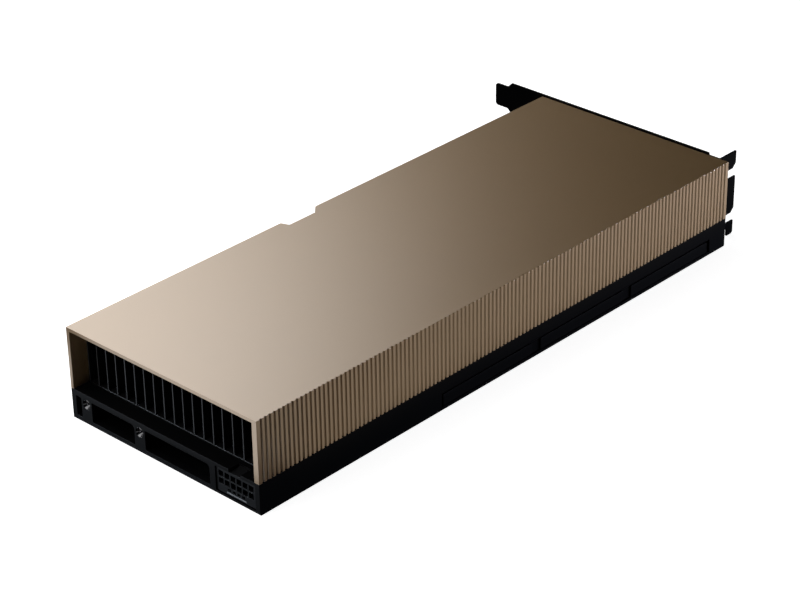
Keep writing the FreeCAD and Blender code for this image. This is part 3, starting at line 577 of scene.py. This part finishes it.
def add_turned(bm, rings, place):
    """A closed surface over rings, capped at both ends."""
    rows = ring_rows(bm, rings, place)
    join_rows(bm, zip(rows, rows[1:]), ROUND_STEPS)
    bm.faces.new(list(reversed(rows[0])))
    bm.faces.new(rows[-1])


def add_tube(bm, rings, place):
    """A ring-shaped closed surface: the last ring joins the first."""
    rows = ring_rows(bm, rings, place)
    join_rows(bm, zip(rows, rows[1:] + rows[:1]), ROUND_STEPS)


def finish_round(bm, node, finishes):
    """Shades turned pieces smooth, with creases, and makes a piece of them."""
    bmesh.ops.recalc_face_normals(bm, faces=bm.faces)
    for face in bm.faces:
        face.smooth = len(face.verts) == 4
    for edge in bm.edges:
        if len(edge.link_faces) == 2 and edge.calc_face_angle() > CREASE:
            edge.smooth = False
    new_piece(node + "_turned", bm, finishes, node)


def screw_rings(head, shank, length, sink, straight):
    """Rings of a screw from the floor of its drive to its tip; straight is the height of a plain rim."""
    drive = [
        (lobed(DRIVE_RADIUS * DRIVE_TAPER), -DRIVE_DEPTH),
        (lobed(DRIVE_RADIUS), -RIM),
        (lobed(DRIVE_RADIUS + RIM), 0),
    ]
    rim = [
        (plain(head - RIM_FLAT), 0),
        (plain(head - RIM_EASE), -RIM_EASE),
        (plain(head), -RIM_DEPTH),
        (plain(head), -RIM_DEPTH - straight),
    ]
    stem = [
        (plain(shank), -sink),
        (plain(shank), -length + TIP),
        (plain(shank - TIP), -length),
    ]
    return drive + rim + stem


def make_screws(node, out, finishes):
    """Round countersunk screws with drives, for a node's plainer ones; out is the way they face."""
    out = Vector(out)
    sink = HEAD_RADIUS - SHANK_RADIUS
    bm = bmesh.new()
    for low, high in separate_boxes(node):
        middle = (low + high) / 2
        half = (high - low) / 2
        reach = sum(abs(out[i]) * half[i] for i in range(3))
        rings = screw_rings(HEAD_RADIUS, SHANK_RADIUS, 2 * reach, sink, STRAIGHT_RIM)
        add_turned(bm, rings, axis_frame(middle + out * reach, out))
    finish_round(bm, node, finishes)


def make_clamp_screws(finishes):
    """Flat-headed screws with drives, whose heads face down."""
    straight = CLAMP_HEAD - RIM_DEPTH
    bm = bmesh.new()
    for low, high in separate_boxes("clamp_screws"):
        middle = (low + high) / 2
        point = Vector((middle.x, middle.y, low.z))
        length = high.z - low.z
        rings = screw_rings(CLAMP_HEAD_RADIUS, CLAMP_SHANK_RADIUS, length, CLAMP_HEAD, straight)
        add_turned(bm, rings, axis_frame(point, (0, 0, -1)))
    finish_round(bm, "clamp_screws", finishes)


def thread_radius(height, length):
    """Radius of a threaded bore at an angle, at a height between -length and 0."""
    fade = max(0, min(1, (-height) / THREAD_PITCH, (length + height) / THREAD_PITCH))

    def radius(turn):
        phase = (height / THREAD_PITCH + turn / (2 * math.pi)) % 1
        return BORE_RADIUS + THREAD_DEPTH * abs(2 * phase - 1) * fade

    return radius


def make_inserts(finishes):
    """Sleeves with a threaded bore and a countersunk mouth."""
    bm = bmesh.new()
    for low, high in separate_boxes("extender_inserts"):
        middle = (low + high) / 2
        length = high.x - low.x
        rows = THREAD_ROWS * round(length / THREAD_PITCH)
        heights = [-length * k / rows for k in range(rows + 1)]
        rings = [(thread_radius(z, length), z) for z in reversed(heights) if z < -INSERT_SINK]
        rings.append((plain(BORE_RADIUS + INSERT_SINK), 0))
        rings.append((plain(INSERT_RADIUS - INSERT_BEVEL), 0))
        rings.append((plain(INSERT_RADIUS), -INSERT_BEVEL))
        rings.append((plain(INSERT_RADIUS), -length))
        mouth = Vector((low.x, middle.y, middle.z))
        add_tube(bm, rings, axis_frame(mouth, (-1, 0, 0)))
    finish_round(bm, "extender_inserts", finishes)


def make_pieces():
    finishes = make_finishes()
    for node, material in finishes.items():
        data = nodes[node].data
        data.materials.clear()
        data.materials.append(material)
    for node, width in EASED.items():
        make_softened(node, width, finishes)
    make_screws("shroud_screws", (0, 1, 0), finishes)
    make_screws("bracket_screws", (1, 0, 0), finishes)
    make_screws("back_plate_screws", (0, 0, -1), finishes)
    make_clamp_screws(finishes)
    make_inserts(finishes)


make_camera()
make_pieces()
make_studio()
